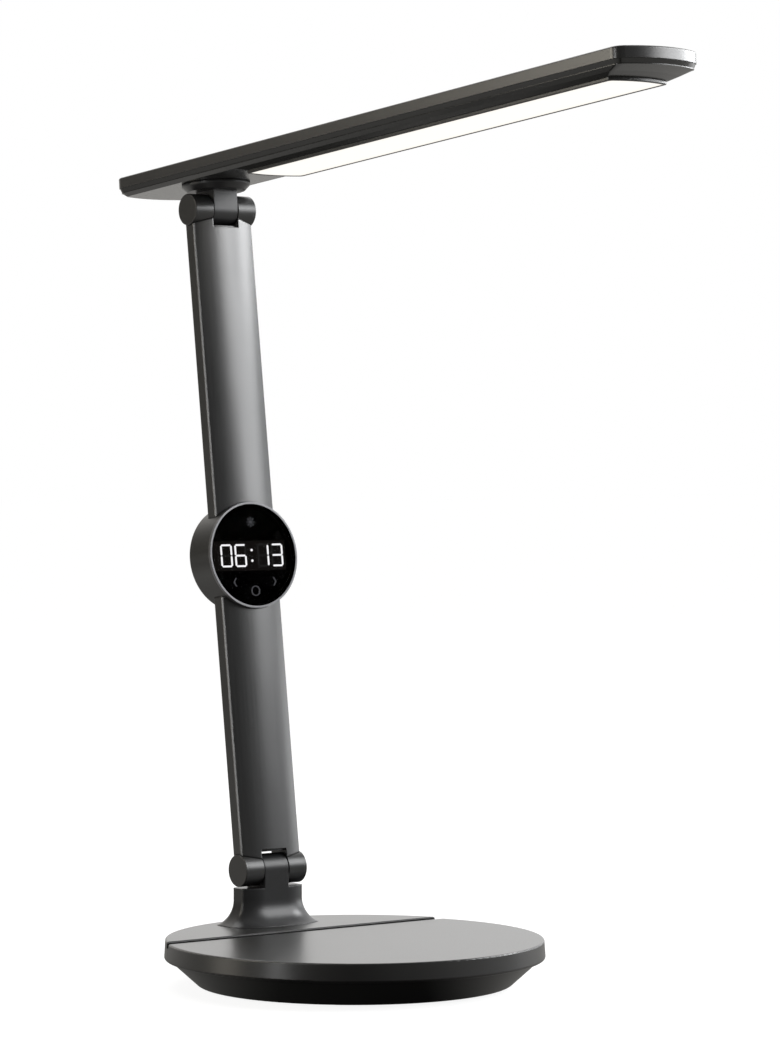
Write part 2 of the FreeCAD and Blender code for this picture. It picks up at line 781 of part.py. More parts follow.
def digit_bars(cx):
    # Seven bars in the usual order: top, upper right, lower right, foot, lower left, upper left, middle.
    wide = digit_w - digit_bar
    tall = (digit_h - digit_bar) / 2
    return (
        bar_points(cx, tall, wide, False),
        bar_points(cx + wide / 2, tall / 2, tall, True),
        bar_points(cx + wide / 2, -tall / 2, tall, True),
        bar_points(cx, -tall, wide, False),
        bar_points(cx - wide / 2, -tall / 2, tall, True),
        bar_points(cx - wide / 2, tall / 2, tall, True),
        bar_points(cx, 0, wide, False),
    )


left_digit = digit_shift - digit_centre
right_digit = digit_shift + digit_centre
digit_places = (left_digit - digit_pitch, left_digit, right_digit, right_digit + digit_pitch)
lit_bars_shares = ((0, 1, 2, 3, 4, 5), (0, 2, 3, 4, 5, 6), (1, 2), (0, 1, 2, 3, 6))
lit = []
unlit = []
for cx, lit_here in zip(digit_places, lit_bars_shares):
    for index, outline in enumerate(digit_bars(cx)):
        bar = clock_prism(outline, display_face, display_face + segment_t)
        if index in lit_here:
            lit.append(bar)
        else:
            unlit.append(bar)
for sz in (-1, 1):
    dot = V(digit_shift, 0, clock_s + sz * colon_rise)
    lit.append(rod(colon_r, dot + V(0, -display_face, 0), dot + V(0, -display_face - segment_t, 0)))
export("digits_lit", Part.makeCompound(lit), arm_place)
export("digits_unlit", Part.makeCompound(unlit), arm_place)

# Touch marks: thin plates just under the lens
icons = []
mark_low = V(0, -icon_low, 0)
mark_top = V(0, -icon_top, 0)
ring_at = V(icon_shift, 0, clock_s - ring_s)
icons.append(tube(ring_r, ring_r - icon_stroke, ring_at + mark_low, ring_at + mark_top))
sun_at = V(icon_shift, 0, clock_s + sun_s)
icons.append(rod(sun_r, sun_at + mark_low, sun_at + mark_top))
for i in range(8):
    ray = box(sun_ray_in, sun_ray_out, -icon_top, -icon_low, -sun_ray_half, sun_ray_half)
    ray.rotate(V(0, 0, 0), Y_AXIS, 45 * i)
    icons.append(ray.translated(sun_at))
for sx in (-1, 1):
    tip = icon_shift + sx * (arrow_x + arrow_half_w)
    back = icon_shift + sx * (arrow_x - arrow_half_w)
    thick = sx * arrow_stroke
    high = -arrow_s + arrow_half_h
    low = -arrow_s - arrow_half_h
    outline = ((tip, -arrow_s), (back, high), (back - thick, high),
               (tip - thick, -arrow_s), (back - thick, low), (back, low))
    icons.append(clock_prism(outline, icon_low, icon_top))
export("touch_icons", Part.makeCompound(icons), arm_place)

# Head knuckle: tongue of the upper hinge, conical flange and hollow swivel stub
knuckle = turned((
    (0, flange_low_up, 0),
    (flange_low_r, flange_low_up, flange_round),
    (flange_rim_r, flange_rim_up, 0),
    (flange_rim_r, flange_top_up, 0),
    (stub_shaft_r, flange_top_up, 0),
    (stub_shaft_r, stub_top_up, 0),
    (0, stub_top_up, 0),
))
knuckle = knuckle.fuse(box(-tongue_half, tongue_half, -tongue_r, tongue_r, 0, flange_low_up))
knuckle = knuckle.fuse(rod(tongue_r, V(-tongue_half, 0, 0), V(tongue_half, 0, 0)))
knuckle = knuckle.removeSplitter()
knuckle = knuckle.cut(rod(hinge_bore_r, V(-neck_half, 0, 0), V(neck_half, 0, 0)))
lead_top = V(0, cable_back, stub_top_up + overrun)
knuckle = knuckle.cut(rod(cable_bore_r, V(0, cable_back, -barrel_r), lead_top))
export("head_knuckle", knuckle, head_place)

knuckle_cable = rod(cable_r, V(0, cable_back, -cable_back), V(0, cable_back, stub_top_up))
export("knuckle_cable", knuckle_cable, head_place)

washer_up = swivel_boss_up + run_clear
nut_up = washer_up + swivel_washer_h
swivel_bore_r = stub_shaft_r + run_clear
swivel_washer = tube(swivel_washer_r, swivel_bore_r, V(0, 0, washer_up), V(0, 0, nut_up))
export("swivel_washer", swivel_washer, head_place)
nut_points = []
for i in range(6):
    a = math.radians(60 * i)
    nut_points.append(V(swivel_nut_r * math.cos(a), swivel_nut_r * math.sin(a), nut_up))
swivel_nut = prism(Part.makePolygon(nut_points + nut_points[:1]), V(0, 0, swivel_nut_h))
nut_top_up = nut_up + swivel_nut_h
swivel_nut = swivel_nut.cut(rod(swivel_bore_r, V(0, 0, nut_up - overrun), V(0, 0, nut_top_up + overrun)))
export("swivel_nut", swivel_nut, head_place)


# Head outlines: straight sides, arched ends of one radius, round corners
def head_block(half, rear, front, corner, low, high):
    sag = head_end_r - math.sqrt(head_end_r ** 2 - half ** 2)
    a = V(-half, -rear - sag, low)
    b = V(-half, -front + sag, low)
    c = V(half, -front + sag, low)
    d = V(half, -rear - sag, low)
    front_arc = Part.Arc(b, V(0, -front, low), c).toShape()
    rear_arc = Part.Arc(d, V(0, -rear, low), a).toShape()
    wire = Part.Wire([Part.makeLine(a, b), front_arc, Part.makeLine(c, d), rear_arc])
    block = prism(wire, V(0, 0, high - low))
    return block.makeFillet(corner, upright_edges(block, low, high))


def head_outline(half, rear, front, corner, level):
    block = head_block(half, rear, front, corner, level, level + overrun)
    for face in block.Faces:
        if abs(face.CenterOfMass.z - level) < run_clear:
            return face.OuterWire


def inset_block(inset, low, high):
    corner = head_corner_r - inset
    return head_block(head_half - inset, head_rear + inset, head_front - inset, corner, low, high)


def inset_outline(inset, level):
    corner = head_corner_r - inset
    return head_outline(head_half - inset, head_rear + inset, head_front - inset, corner, level)


top_shell = inset_block(0, head_split_up, head_top_up)
top_edges = [e for e in top_shell.Edges if e.BoundBox.ZMin > head_top_up - run_clear]
top_shell = top_shell.makeFillet(head_edge_r, top_edges)
top_shell = top_shell.cut(inset_block(head_wall, head_split_up - overrun, head_top_up - head_wall))
export("head_top_shell", top_shell, head_place)

# Lower shell: sloped band with a bead, skirt, flat rear underside and the pod round the light panel
band_top = inset_outline(band_top_in, head_split_up)
skirt_top = inset_outline(band_low_in, band_low_up)
band = Part.makeLoft([skirt_top, band_top], True, True)
skirt_low = head_outline(flat_half, flat_rear, flat_front, pod_corner_r, flat_up)
skirt = Part.makeLoft([skirt_top, skirt_low], True, True)
pod_root = head_outline(flat_half, pod_root_rear, flat_front, pod_corner_r, flat_up)
pod_foot = head_outline(pod_half, pod_rear, pod_front, panel_corner_r, pod_low_up)
pod = Part.makeLoft([pod_root, pod_foot], True, True)
lip_inset = head_wall + slide_clear
lip = inset_block(lip_inset, head_split_up, lip_up)
bead = inset_block(bead_in, band_low_up, band_low_up + bead_h)
shell = band.fuse([skirt, pod, lip, bead]).removeSplitter()
hollow_inset = lip_inset + lip_in
shell = shell.cut(inset_block(hollow_inset, shelf_up, lip_up + overrun))
rear_hollow = head_block(flat_half - lip_in, flat_rear + lip_in, plate_rear - lip_in, pod_corner_r,
                         shell_floor_up, lip_up)
shell = shell.cut(rear_hollow)
shell = shell.fuse(rod(swivel_boss_r, V(0, 0, flat_up), V(0, 0, swivel_boss_up)))
shell = shell.cut(rod(swivel_bore_r, V(0, 0, flat_up - overrun), V(0, 0, swivel_boss_up + overrun)))
window = head_block(window_half, window_rear, window_front, panel_corner_r,
                    pod_low_up - overrun, shelf_up + overrun)
shell = shell.cut(window)
screw_seats = []
for i in range(plate_screw_count):
    for sx in (-1, 1):
        screw_seats.append(V(sx * plate_screw_x, -plate_screw_first - plate_screw_step * i, shelf_up))
plate_hole_r = plate_screw_r + run_clear
for seat in screw_seats:
    shell = shell.cut(rod(plate_hole_r, seat - V(0, 0, plate_screw_len), seat + V(0, 0, overrun)))
export("head_lower_shell", shell.removeSplitter(), head_place)

frame = head_block(frame_half, frame_rear, frame_front, panel_corner_r, frame_low_up, pod_low_up)
frame_edges = [e for e in frame.Edges if e.BoundBox.ZMax < frame_low_up + run_clear]
frame = frame.makeFillet(frame_edge_r, frame_edges)
frame_space = head_block(frame_in_half, frame_in_rear, frame_in_front, panel_corner_r,
                         frame_low_up - overrun, pod_low_up + overrun)
frame = frame.cut(frame_space)
export("panel_frame", frame, head_place)

panel_in = run_clear
diffuser = head_block(frame_in_half - panel_in, frame_in_rear + panel_in, frame_in_front - panel_in,
                      panel_corner_r, panel_up, pod_low_up)
diffuser = diffuser.fuse(head_block(window_half - panel_in, window_rear + panel_in, window_front - panel_in,
                                    panel_corner_r, pod_low_up, panel_top_up))
export("diffuser", diffuser.removeSplitter(), head_place)

guide = head_block(guide_half, guide_rear, guide_front, panel_corner_r, panel_top_up, guide_top_up)
export("light_guide", guide, head_place)
reflector = head_block(guide_half, guide_rear, guide_front, panel_corner_r, guide_top_up, shelf_up)
export("reflector_sheet", reflector, head_place)

plate_top = shelf_up + plate_t
plate = head_block(plate_half, plate_rear, plate_front, pod_corner_r, shelf_up, plate_top)
plate_screws = []
for seat in screw_seats:
    plate = plate.cut(rod(plate_hole_r, seat - V(0, 0, overrun), seat + V(0, 0, plate_t + overrun)))
    top = seat + V(0, 0, plate_t)
    shank = rod(plate_screw_r, seat - V(0, 0, plate_screw_len), top)
    screw_head = rod(plate_screw_head_r, top, top + V(0, 0, plate_screw_head_h))
    plate_screws.append(joined([shank, screw_head]))
export("heat_plate", plate, head_place)
export("plate_screws", Part.makeCompound(plate_screws), head_place)

strips = []
chips = []
strip_in = guide_half + run_clear + chip_t
strip_from = guide_rear + strip_inset
strip_to = guide_front - strip_inset
chip_pitch = (strip_to - strip_from) / chip_rows
chip_top_up = panel_top_up + chip_h
for sx in (-1, 1):
    sides = sorted((sx * strip_in, sx * (strip_in + strip_t)))
    strips.append(box(sides[0], sides[1], -strip_to, -strip_from, panel_top_up, shelf_up))
    sides = sorted((sx * (guide_half + run_clear), sx * strip_in))
    for i in range(chip_rows):
        mid = -strip_from - chip_pitch * (i + 1 / 2)
        chip = box(sides[0], sides[1], mid - chip_w / 2, mid + chip_w / 2, panel_top_up, chip_top_up)
        chips.append(chip)
export("led_strips", Part.makeCompound(strips), head_place)
export("led_chips", Part.makeCompound(chips), head_place)

head_feed = cable_run((V(0, cable_back, head_cable_up), V(0, -head_cable_turn, head_cable_up),
                       V(0, -head_cable_turn, plate_top)), cable_r, head_cable_bend)
export("head_cable", head_feed, head_place)
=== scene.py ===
# %% [markdown]
# # Dressing an LED desk lamp
# The solid model already holds every piece of the lamp at its true size. In this lesson
# we choose where to stand, how to light the lamp and what each surface is made of.
# We start by loading the model.

# %% Load the model
import bpy
import json
import math
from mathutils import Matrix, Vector


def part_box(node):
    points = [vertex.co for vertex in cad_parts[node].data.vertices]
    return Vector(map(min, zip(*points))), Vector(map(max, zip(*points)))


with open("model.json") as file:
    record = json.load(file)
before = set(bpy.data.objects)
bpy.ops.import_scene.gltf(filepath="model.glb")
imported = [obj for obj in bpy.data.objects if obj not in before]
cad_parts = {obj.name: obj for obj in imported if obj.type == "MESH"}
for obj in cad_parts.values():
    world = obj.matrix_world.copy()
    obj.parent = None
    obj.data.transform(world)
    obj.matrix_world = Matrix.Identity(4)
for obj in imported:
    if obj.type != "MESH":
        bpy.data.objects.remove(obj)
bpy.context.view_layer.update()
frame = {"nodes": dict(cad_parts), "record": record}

nodes = frame["nodes"]

# %% [markdown]
# ## Where the camera stands
# A long lens from almost two metres away keeps the upright arm and the level base
# calm. A short lens would make the head's tip look huge. The camera looks from the
# lamp's front left and very slightly down. Blender measures the lens against the
# longer side of the picture.

# %% Camera
LEVEL = math.radians(90)
CAMERA_TURN = math.radians(-37.81)
CAMERA_DIP = math.radians(-0.99)
CAMERA_PLACE = (-1.0928, -1.4353, 0.2503)
CAMERA_LENS = 132.58
CAMERA_SENSOR = 36.0
scene = bpy.context.scene
camera_data = bpy.data.cameras.new("camera")
camera_data.lens = CAMERA_LENS
camera_data.sensor_width = CAMERA_SENSOR
camera = bpy.data.objects.new("camera", camera_data)
camera.location = CAMERA_PLACE
camera.rotation_euler = (LEVEL + CAMERA_DIP, 0, CAMERA_TURN)
scene.collection.objects.link(camera)
scene.camera = camera
scene.view_settings.view_transform = "Standard"
print("camera lens", camera_data.lens, "mm")

# %% [markdown]
# ## Directions in the studio
# The studio is arranged round two level directions: one from the lamp toward the
# camera, one to the right of someone standing there. They are fixed in the room, so
# the light stays where it is when the lamp is seen from another side.
#
# Three small helpers come with them. The first measures how far a place or a direction
# reaches along an axis. The second turns such a measure into a shade. The third joins
# two shaders, one for what the camera sees directly and one for everything else, with
# the help of a Light Path node.

# %% Studio helpers
RAMP_MIDDLE = 0.5
TOWARD = (math.sin(CAMERA_TURN), -math.cos(CAMERA_TURN), 0)
AWAY = tuple(-part for part in TOWARD)
RIGHT = (math.cos(CAMERA_TURN), math.sin(CAMERA_TURN), 0)


def reach_along(tree, source, axis, lowest, highest, smooth=False):
    """A value from 0 to 1 for how far source reaches along axis, between two limits."""
    dot = tree.nodes.new("ShaderNodeVectorMath")
    dot.operation = "DOT_PRODUCT"
    dot.inputs[1].default_value = axis
    fit = tree.nodes.new("ShaderNodeMapRange")
    fit.interpolation_type = "SMOOTHSTEP" if smooth else "LINEAR"
    fit.inputs["From Min"].default_value = lowest
    fit.inputs["From Max"].default_value = highest
    tree.links.new(source, dot.inputs[0])
    tree.links.new(dot.outputs["Value"], fit.inputs["Value"])
    return fit.outputs["Result"]


def shade_ramp(tree, factor, stops, kind="LINEAR"):
    """A colour ramp on factor; stops are pairs of a place from 0 to 1 and a colour."""
    ramp = tree.nodes.new("ShaderNodeValToRGB")
    ramp.color_ramp.interpolation = kind
    points = ramp.color_ramp.elements
    while len(points) < len(stops):
        points.new(RAMP_MIDDLE)
    for point, (place, colour) in zip(points, stops):
        point.position = place
        point.color = (*colour, 1)
    tree.links.new(factor, ramp.inputs["Fac"])
    return ramp.outputs["Color"]


def camera_split(tree, seen, hidden, socket):
    """Joins two shaders: one for what the camera sees directly, one for all else."""
    path = tree.nodes.new("ShaderNodeLightPath")
    mix = tree.nodes.new("ShaderNodeMixShader")
    tree.links.new(path.outputs["Is Camera Ray"], mix.inputs["Fac"])
    tree.links.new(hidden, mix.inputs[1])
    tree.links.new(seen, mix.inputs[2])
    tree.links.new(mix.outputs[0], socket)


print("toward the camera:", [round(part, 3) for part in TOWARD])

# %% [markdown]
# ## A white floor that keeps a shadow
# Seen directly, the floor is white paper. Most of that white is emission, which needs
# no more light on the lamp, and a share is plain diffuse paint, so that a faint shadow
# stays under the base.
#
# In reflections the same floor is a room's floor. A black lamp shows its shape only by
# what it mirrors, so this floor is dark in front and bright at both sides and behind.
# One measure grows toward the far wall, the other is a ramp from left to right, and
# the larger one wins. From below the floor is clear, so that the underside can be seen.

# %% Floor
FLOOR_SIZE = 30.0
FLOOR_GAP = 0.0002
FLOOR_WHITE = 0.89
FLOOR_PAINT = 0.2
WHITE = (1, 1, 1, 1)
bpy.ops.mesh.primitive_plane_add(size=FLOOR_SIZE, location=(0, 0, -FLOOR_GAP))
floor = bpy.context.object
floor.name = "studio_floor"
floor_paint = bpy.data.materials.new("floor_paint")
floor_paint.use_nodes = True
tree = floor_paint.node_tree
tree.nodes.clear()
glow = tree.nodes.new("ShaderNodeEmission")
glow.inputs["Color"].default_value = WHITE
glow.inputs["Strength"].default_value = FLOOR_WHITE
paint = tree.nodes.new("ShaderNodeBsdfDiffuse")
paint.inputs["Color"].default_value = (FLOOR_PAINT, FLOOR_PAINT, FLOOR_PAINT, 1)
paper = tree.nodes.new("ShaderNodeAddShader")
tree.links.new(glow.outputs[0], paper.inputs[0])
tree.links.new(paint.outputs[0], paper.inputs[1])
floor.data.materials.append(floor_paint)
print("floor", FLOOR_SIZE, "m wide")

# %% Floor in reflections
FLOOR_TINT = (1.0, 0.98, 0.94, 1)
FAR_WALL = 1.5
FAR_SHADE = 0.62
SIDE_WALL = 1.5
FLOOR_SHADES = ((0.0, 0.15), (0.2, 0.35), (0.34, 0.7), (0.465, 0.3), (0.487, 0.03),
                (0.513, 0.02), (0.535, 0.5), (0.58, 0.5), (0.75, 0.55), (1.0, 0.6))
where = tree.nodes.new("ShaderNodeTexCoord")
far = reach_along(tree, where.outputs["Object"], AWAY, 0.0, FAR_WALL, smooth=True)
far_shade = tree.nodes.new("ShaderNodeMath")
far_shade.operation = "MULTIPLY"
far_shade.inputs[1].default_value = FAR_SHADE
tree.links.new(far, far_shade.inputs[0])
across = reach_along(tree, where.outputs["Object"], RIGHT, -SIDE_WALL, SIDE_WALL)
greys = [(place, (shade, shade, shade)) for place, shade in FLOOR_SHADES]
larger = tree.nodes.new("ShaderNodeMath")
larger.operation = "MAXIMUM"
tree.links.new(far_shade.outputs["Value"], larger.inputs[0])
tree.links.new(shade_ramp(tree, across, greys), larger.inputs[1])
mirrored = tree.nodes.new("ShaderNodeEmission")
mirrored.inputs["Color"].default_value = FLOOR_TINT
tree.links.new(larger.outputs["Value"], mirrored.inputs["Strength"])
from_below = tree.nodes.new("ShaderNodeNewGeometry")
clear = tree.nodes.new("ShaderNodeBsdfTransparent")
two_faced = tree.nodes.new("ShaderNodeMixShader")
out = tree.nodes.new("ShaderNodeOutputMaterial")
camera_split(tree, paper.outputs[0], mirrored.outputs[0], two_faced.inputs[1])
tree.links.new(from_below.outputs["Backfacing"], two_faced.inputs["Fac"])
tree.links.new(clear.outputs[0], two_faced.inputs[2])
tree.links.new(two_faced.outputs[0], out.inputs["Surface"])
print("floor nodes:", len(tree.nodes))

# %% [markdown]
# ## A sky painted by direction
# The world is white where the camera sees it. For light and reflections it is a room
# with a bright wall behind the lamp, a dim one where the camera stands and a dark,
# warm one to the left. One ramp runs from the far wall to the camera, one from left to
# right, and the two are multiplied. A picture of a real room would do the same, but
# two ramps are easier to adjust.

# %% World
SKY_STRENGTH = 1.7
FULLY = 1.0
DEPTH_STOPS = ((0.0, (1.0, 1.0, 1.0)), (0.125, (0.9, 0.9, 0.9)),
               (0.4, (0.45, 0.45, 0.45)), (0.7, (0.2, 0.2, 0.2)),
               (0.875, (0.08, 0.08, 0.08)), (1.0, (0.1, 0.1, 0.1)))
SIDE_STOPS = ((0.0, (0.08, 0.075, 0.065)), (0.25, (0.6, 0.58, 0.55)),
              (0.65, (1.0, 1.0, 1.0)), (1.0, (0.95, 0.97, 1.0)))
world = bpy.data.worlds.new("studio_world")
scene.world = world
world.use_nodes = True
tree = world.node_tree
tree.nodes.clear()
seen = tree.nodes.new("ShaderNodeBackground")
seen.inputs["Color"].default_value = WHITE
hidden = tree.nodes.new("ShaderNodeBackground")
hidden.inputs["Strength"].default_value = SKY_STRENGTH
where = tree.nodes.new("ShaderNodeTexCoord")
depth = reach_along(tree, where.outputs["Generated"], TOWARD, -1.0, 1.0)
side = reach_along(tree, where.outputs["Generated"], RIGHT, -1.0, 1.0)
both = tree.nodes.new("ShaderNodeMix")
both.data_type = "RGBA"
both.blend_type = "MULTIPLY"
both.inputs["Factor"].default_value = FULLY
tree.links.new(shade_ramp(tree, depth, DEPTH_STOPS, "EASE"), both.inputs["A"])
tree.links.new(shade_ramp(tree, side, SIDE_STOPS, "EASE"), both.inputs["B"])
tree.links.new(both.outputs["Result"], hidden.inputs["Color"])
out = tree.nodes.new("ShaderNodeOutputWorld")
camera_split(tree, seen.outputs[0], hidden.outputs[0], out.inputs["Surface"])
print("sky nodes:", len(tree.nodes))

# %% [markdown]
# ## Soft boxes
# Large area lights give the long, slow gradients of a product picture. A point light
# would only leave a dot on satin plastic. One box stands to the right of the lamp, with
# a small one beside it for the head's tip and a low one for the base. One is before
# the lamp, above the head. One hangs above and behind, and makes the deck shine. Two
# warm ones fill the left, the lower of them for the rim, and a narrow strip draws the
# thin bright line along the arm's front edge.

# %% Lights
COOL = (0.98, 0.99, 1.0)
PLAIN = (1.0, 1.0, 1.0)
WARM = (1.0, 0.94, 0.82)


def soft_box(name, place, aim, width, height, power, colour):
    """An area light at place that points at aim."""
    data = bpy.data.lights.new(name, "AREA")
    data.shape = "RECTANGLE"
    data.size = width
    data.size_y = height
    data.energy = power
    data.color = colour
    box = bpy.data.objects.new(name, data)
    box.location = place
    sight = Vector(aim) - Vector(place)
    box.rotation_euler = sight.to_track_quat("-Z", "Y").to_euler()
    scene.collection.objects.link(box)


soft_box("box_right", place=(0.86, -0.66, 0.74), aim=(0, 0.05, 0.3),
         width=0.7, height=0.8, power=11.5, colour=COOL)
soft_box("box_edge", place=(1.08, -0.27, 0.74), aim=(0, -0.15, 0.42),
         width=0.44, height=0.26, power=7.0, colour=COOL)
soft_box("box_low_right", place=(1.05, -0.1, 0.16), aim=(0, 0.03, 0.06),
         width=0.5, height=0.25, power=1.4, colour=COOL)
soft_box("box_front", place=(0.64, -1.05, 0.82), aim=(0, -0.1, 0.45),
         width=0.4, height=0.22, power=3.4, colour=PLAIN)
soft_box("box_top", place=(0.2, 0.9, 1.7), aim=(0, 0, 0.1),
         width=1.6, height=1.0, power=13, colour=PLAIN)
soft_box("box_left", place=(-1.0, 0.6, 0.66), aim=(0, -0.15, 0.4),
         width=0.45, height=0.45, power=3.9, colour=WARM)
soft_box("strip_left", place=(-1.2, -0.15, 0.35), aim=(0, 0.08, 0.25),
         width=0.12, height=0.7, power=3.4, colour=PLAIN)
soft_box("box_low_left", place=(-1.05, 0.55, 0.16), aim=(0, 0, 0.02),
         width=0.35, height=0.3, power=1.8, colour=WARM)
print("lights:", len(bpy.data.lights))

# %% [markdown]
# ## One group for fine grain and soft edges
# Moulded plastic and anodised metal are never perfectly even. A shader node group
# makes what many materials share:
# - a fine noise that moves the roughness a little and gives a slight bump, and that
#   can be stretched into the streaks of drawn metal;
# - a slow noise that lets the colour drift from place to place;
# - an edge mask, where a rounded normal and the true normal differ, for a paler
#   line along corners that is partly wear from handling and partly a painted highlight.
#
# The group gives out only a colour, a value and a normal. Each material keeps its own
# Principled shader.

# %% Group sockets
VALUE = "NodeSocketFloat"
VECTOR = "NodeSocketVector"
COLOUR = "NodeSocketColor"
GRAIN_INPUTS = (("Colour", COLOUR), ("Paler_wear_and_sheen", COLOUR), ("Scale", VALUE), ("Stretch", VECTOR),
                ("Low", VALUE), ("High", VALUE), ("Bump", VALUE), ("Edge", VALUE))
GRAIN_OUTPUTS = (("Colour", COLOUR), ("Roughness", VALUE), ("Normal", VECTOR))
grain = bpy.data.node_groups.new("grain_and_edges", "ShaderNodeTree")
for name, kind in GRAIN_INPUTS:
    grain.interface.new_socket(name, in_out="INPUT", socket_type=kind)
for name, kind in GRAIN_OUTPUTS:
    grain.interface.new_socket(name, in_out="OUTPUT", socket_type=kind)
take = grain.nodes.new("NodeGroupInput")
give = grain.nodes.new("NodeGroupOutput")
print("group sockets:", len(grain.interface.items_tree))

# %% Fine grain
BUMP_HEIGHT = 0.0002
FINE_DETAIL = 4.0
FINE_LOW = 0.3
FINE_HIGH = 0.7
where = grain.nodes.new("ShaderNodeTexCoord")
drawn = grain.nodes.new("ShaderNodeVectorMath")
drawn.operation = "MULTIPLY"
fine = grain.nodes.new("ShaderNodeTexNoise")
fine.inputs["Detail"].default_value = FINE_DETAIL
spread = grain.nodes.new("ShaderNodeMapRange")
spread.inputs["From Min"].default_value = FINE_LOW
spread.inputs["From Max"].default_value = FINE_HIGH
rounded = grain.nodes.new("ShaderNodeBevel")
bump = grain.nodes.new("ShaderNodeBump")
bump.inputs["Distance"].default_value = BUMP_HEIGHT
grain.links.new(where.outputs["Object"], drawn.inputs[0])
grain.links.new(take.outputs["Stretch"], drawn.inputs[1])
grain.links.new(drawn.outputs["Vector"], fine.inputs["Vector"])
grain.links.new(take.outputs["Scale"], fine.inputs["Scale"])
grain.links.new(fine.outputs["Fac"], spread.inputs["Value"])
grain.links.new(take.outputs["Low"], spread.inputs["To Min"])
grain.links.new(take.outputs["High"], spread.inputs["To Max"])
grain.links.new(fine.outputs["Fac"], bump.inputs["Height"])
grain.links.new(take.outputs["Bump"], bump.inputs["Strength"])
grain.links.new(take.outputs["Edge"], rounded.inputs["Radius"])
grain.links.new(rounded.outputs["Normal"], bump.inputs["Normal"])
grain.links.new(spread.outputs["Result"], give.inputs["Roughness"])
grain.links.new(bump.outputs["Normal"], give.inputs["Normal"])
print("grain nodes:", len(grain.nodes))

# %% Colour drift, worn edges and painted edge highlight
DRIFT_SCALE = 28.0
DRIFT_LOW = 0.35
DRIFT_HIGH = 0.65
DRIFT_MOST = 0.35
EDGE_FLAT = 0.995
EDGE_SHARP = 0.9
slow = grain.nodes.new("ShaderNodeTexNoise")
slow.inputs["Scale"].default_value = DRIFT_SCALE
drift = grain.nodes.new("ShaderNodeMapRange")
drift.inputs["From Min"].default_value = DRIFT_LOW
drift.inputs["From Max"].default_value = DRIFT_HIGH
drift.inputs["To Max"].default_value = DRIFT_MOST
true_normal = grain.nodes.new("ShaderNodeNewGeometry")
agree = grain.nodes.new("ShaderNodeVectorMath")
agree.operation = "DOT_PRODUCT"
# Corners are made paler here: partly wear, partly a painted highlight along edges.
edge = grain.nodes.new("ShaderNodeMapRange")
edge.inputs["From Min"].default_value = EDGE_FLAT
edge.inputs["From Max"].default_value = EDGE_SHARP
drift_wear_and_sheen_mask = grain.nodes.new("ShaderNodeMath")
drift_wear_and_sheen_mask.operation = "MAXIMUM"
shade = grain.nodes.new("ShaderNodeMix")
shade.data_type = "RGBA"
grain.links.new(where.outputs["Object"], slow.inputs["Vector"])
grain.links.new(slow.outputs["Fac"], drift.inputs["Value"])
grain.links.new(rounded.outputs["Normal"], agree.inputs[0])
grain.links.new(true_normal.outputs["Normal"], agree.inputs[1])
grain.links.new(agree.outputs["Value"], edge.inputs["Value"])
grain.links.new(drift.outputs["Result"], drift_wear_and_sheen_mask.inputs[0])
grain.links.new(edge.outputs["Result"], drift_wear_and_sheen_mask.inputs[1])
grain.links.new(drift_wear_and_sheen_mask.outputs["Value"], shade.inputs["Factor"])
grain.links.new(take.outputs["Colour"], shade.inputs["A"])
grain.links.new(take.outputs["Paler_wear_and_sheen"], shade.inputs["B"])
grain.links.new(shade.outputs["Result"], give.inputs["Colour"])
print("grain nodes with colour:", len(grain.nodes))

# %% [markdown]
# ## A helper for grained materials
# Each finish is a Principled shader with its own copy of the group. The helper takes
# the colour, how much paler worn places and the painted highlight along edges are,
# how metallic the surface is, the lowest and highest roughness, the size, strength and
# stretch of the grain, and how far the edges look rounded. Drawn tubes and castings
# have softer edges than moulded plastic.

# %% Grained helper
EVEN = (1, 1, 1)
CRISP = 0.00025
PUREST = 1.0
SOFT = 0.0008
ALONG_THE_ARM = (1, 0.02, 0.02)
looks = {}


def grained(name, colour, paler, metallic, rough, scale, dents, stretch=EVEN, edge=CRISP):
    """Makes a material with fine grain, drifting colour and soft edges, and keeps it."""
    material = bpy.data.materials.new(name)
    material.use_nodes = True
    tree = material.node_tree
    shader = tree.nodes["Principled BSDF"]
    shader.inputs["Metallic"].default_value = metallic
    group = tree.nodes.new("ShaderNodeGroup")
    group.node_tree = grain
    group.inputs["Colour"].default_value = (*colour, 1)
    # The paler colour serves random drift, worn edges and the painted edge highlight alike.
    wear_and_sheen_colour = [min(PUREST, part * paler) for part in colour]
    group.inputs["Paler_wear_and_sheen"].default_value = (*wear_and_sheen_colour, 1)
    group.inputs["Scale"].default_value = scale
    group.inputs["Stretch"].default_value = stretch
    group.inputs["Low"].default_value = rough[0]
    group.inputs["High"].default_value = rough[1]
    group.inputs["Bump"].default_value = dents
    group.inputs["Edge"].default_value = edge
    tree.links.new(group.outputs["Colour"], shader.inputs["Base Color"])
    tree.links.new(group.outputs["Roughness"], shader.inputs["Roughness"])
    tree.links.new(group.outputs["Normal"], shader.inputs["Normal"])
    looks[name] = material
    return shader


print("helper ready")

# %% [markdown]
# ## Moulded black plastic
# Base, hinge barrels, clock case and the head's top are moulded in black plastic with
# a satin skin: almost no colour, and a soft shine that comes from fine texture in the
# mould. The lower shell of the head is polished more, and the top of the head wears a
# hard lacquer, which a higher index of refraction makes a little brighter in its
# reflections. Very dark colours look right here only because the room is bright.

# %% Plastics
LACQUER_REFRACTION = 1.65
grained("satin_black", (0.0115, 0.0113, 0.011), paler=1.7, metallic=0.0,
        rough=(0.285, 0.33), scale=1800, dents=0.03)
grained("gloss_black", (0.0095, 0.0095, 0.009), paler=1.6, metallic=0.0,
        rough=(0.16, 0.22), scale=700, dents=0.008)
grained("display_black", (0.006, 0.006, 0.006), paler=1.5, metallic=0.0,
        rough=(0.5, 0.6), scale=900, dents=0.02)
shader = grained("lacquer_black", (0.0115, 0.0113, 0.011), paler=1.7, metallic=0.0,
                 rough=(0.285, 0.33), scale=1800, dents=0.03)
shader.inputs["IOR"].default_value = LACQUER_REFRACTION
print("plastics:", list(looks))

